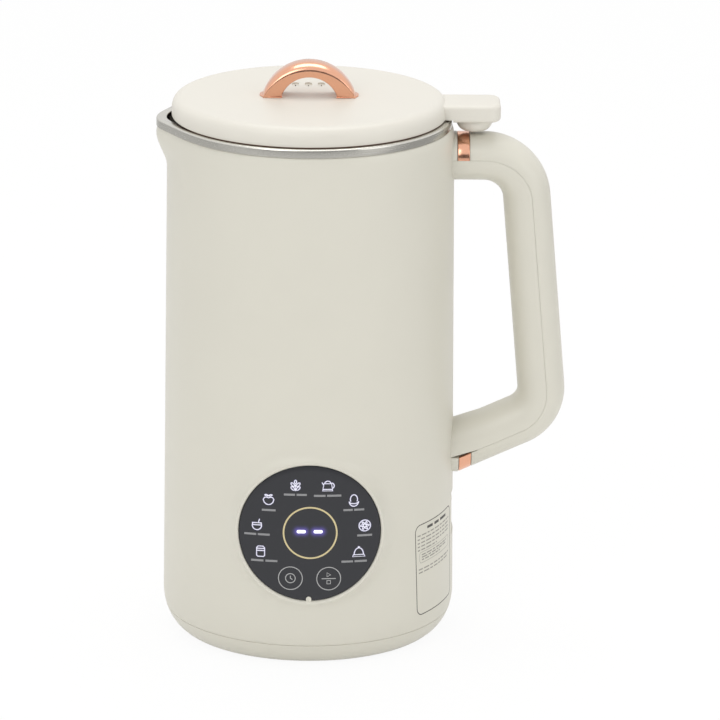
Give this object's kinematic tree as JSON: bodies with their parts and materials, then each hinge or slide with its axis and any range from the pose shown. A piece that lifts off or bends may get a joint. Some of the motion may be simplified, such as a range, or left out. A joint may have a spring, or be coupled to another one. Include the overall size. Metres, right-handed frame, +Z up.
{
  "type": "soy milk maker",
  "caption": "Countertop soy milk maker: heated steel jug in a tapered plastic housing with a spout, loop handle, lift-off lid, touch panel, and a blade driven from the base.",
  "frame": {"origin": "on the table under the middle of the whole object's box", "axes": "+Z up along the body's axis, +X from the spout towards the handle, -Y out of the control panel"},
  "size_m": [0.1872, 0.1348, 0.267],
  "materials": {
    "cream_plastic": "satin moulded cream",
    "lid_cream_plastic": "satin moulded pale cream",
    "brushed_steel": "brushed stainless",
    "rose_gold": "brushed rose gold plating",
    "dark_rubber": "matte",
    "smoked_lens": "glossy smoked acrylic",
    "black_plastic": "matte",
    "white_plastic": "matte",
    "circuit_board": "green solder mask",
    "copper_winding": "varnished copper",
    "laminated_iron": "stacked laminations",
    "brass": "turned",
    "cast_aluminium": "die cast",
    "plated_steel": "plated"
  },
  "bodies": {
    "body": {"outer_housing": "cream_plastic", "base_cover": "cream_plastic", "rubber_foot_1": "dark_rubber", "rubber_foot_2": "dark_rubber", "rubber_foot_3": "dark_rubber", "rubber_foot_4": "dark_rubber", "base_screw_1": "plated_steel", "base_screw_2": "plated_steel", "base_screw_3": "plated_steel", "inner_jug": "brushed_steel", "heating_ring": "cast_aluminium", "temperature_probe": "brushed_steel", "overflow_probe": "brushed_steel", "shaft_seal": "dark_rubber", "seal_nut": "brass", "motor_carrier": "cast_aluminium", "carrier_screw_1": "plated_steel", "carrier_screw_2": "plated_steel", "carrier_screw_3": "plated_steel", "upper_bearing": "plated_steel", "lower_bearing": "plated_steel", "lower_bracket": "cast_aluminium", "motor_bolt_1": "plated_steel", "motor_bolt_2": "plated_steel", "stator_core": "laminated_iron", "front_field_coil": "copper_winding", "back_field_coil": "copper_winding", "brush_holder_1": "black_plastic", "brush_holder_2": "black_plastic", "panel_lens": "smoked_lens", "display_board": "circuit_board", "digit_module": "black_plastic", "left_touch_spring": "plated_steel", "right_touch_spring": "plated_steel", "power_board": "circuit_board", "power_inlet": "black_plastic", "handle_outer_shell": "cream_plastic", "handle_inner_shell": "cream_plastic", "handle_top_trim": "rose_gold", "handle_low_trim": "rose_gold", "top_handle_screw": "plated_steel", "low_handle_screw": "plated_steel", "reed_switch": "black_plastic"},
    "lid": {"lid_shell": "lid_cream_plastic", "lid_inner_cover": "white_plastic", "lid_seal": "dark_rubber", "lid_boss": "lid_cream_plastic", "lid_magnet": "plated_steel", "lid_arch": "rose_gold", "left_arch_screw": "plated_steel", "right_arch_screw": "plated_steel"},
    "rotor": {"motor_shaft": "plated_steel", "armature": "copper_winding", "commutator": "copper_winding", "cooling_fan": "white_plastic", "lower_blade": "brushed_steel", "upper_blade": "brushed_steel", "blade_nut": "brushed_steel"}
  },
  "joints": [
    {"name": "lid_lift", "type": "slide", "parent": "body", "child": "lid", "axis": [0, 0, 1], "range_m": [0, 0.06]},
    {"name": "rotor_spin", "type": "hinge", "parent": "body", "child": "rotor", "pos_m": [-0.02364, 0.00028, 0.1], "axis": [0, 0, 1], "continuous": true}
  ]
}
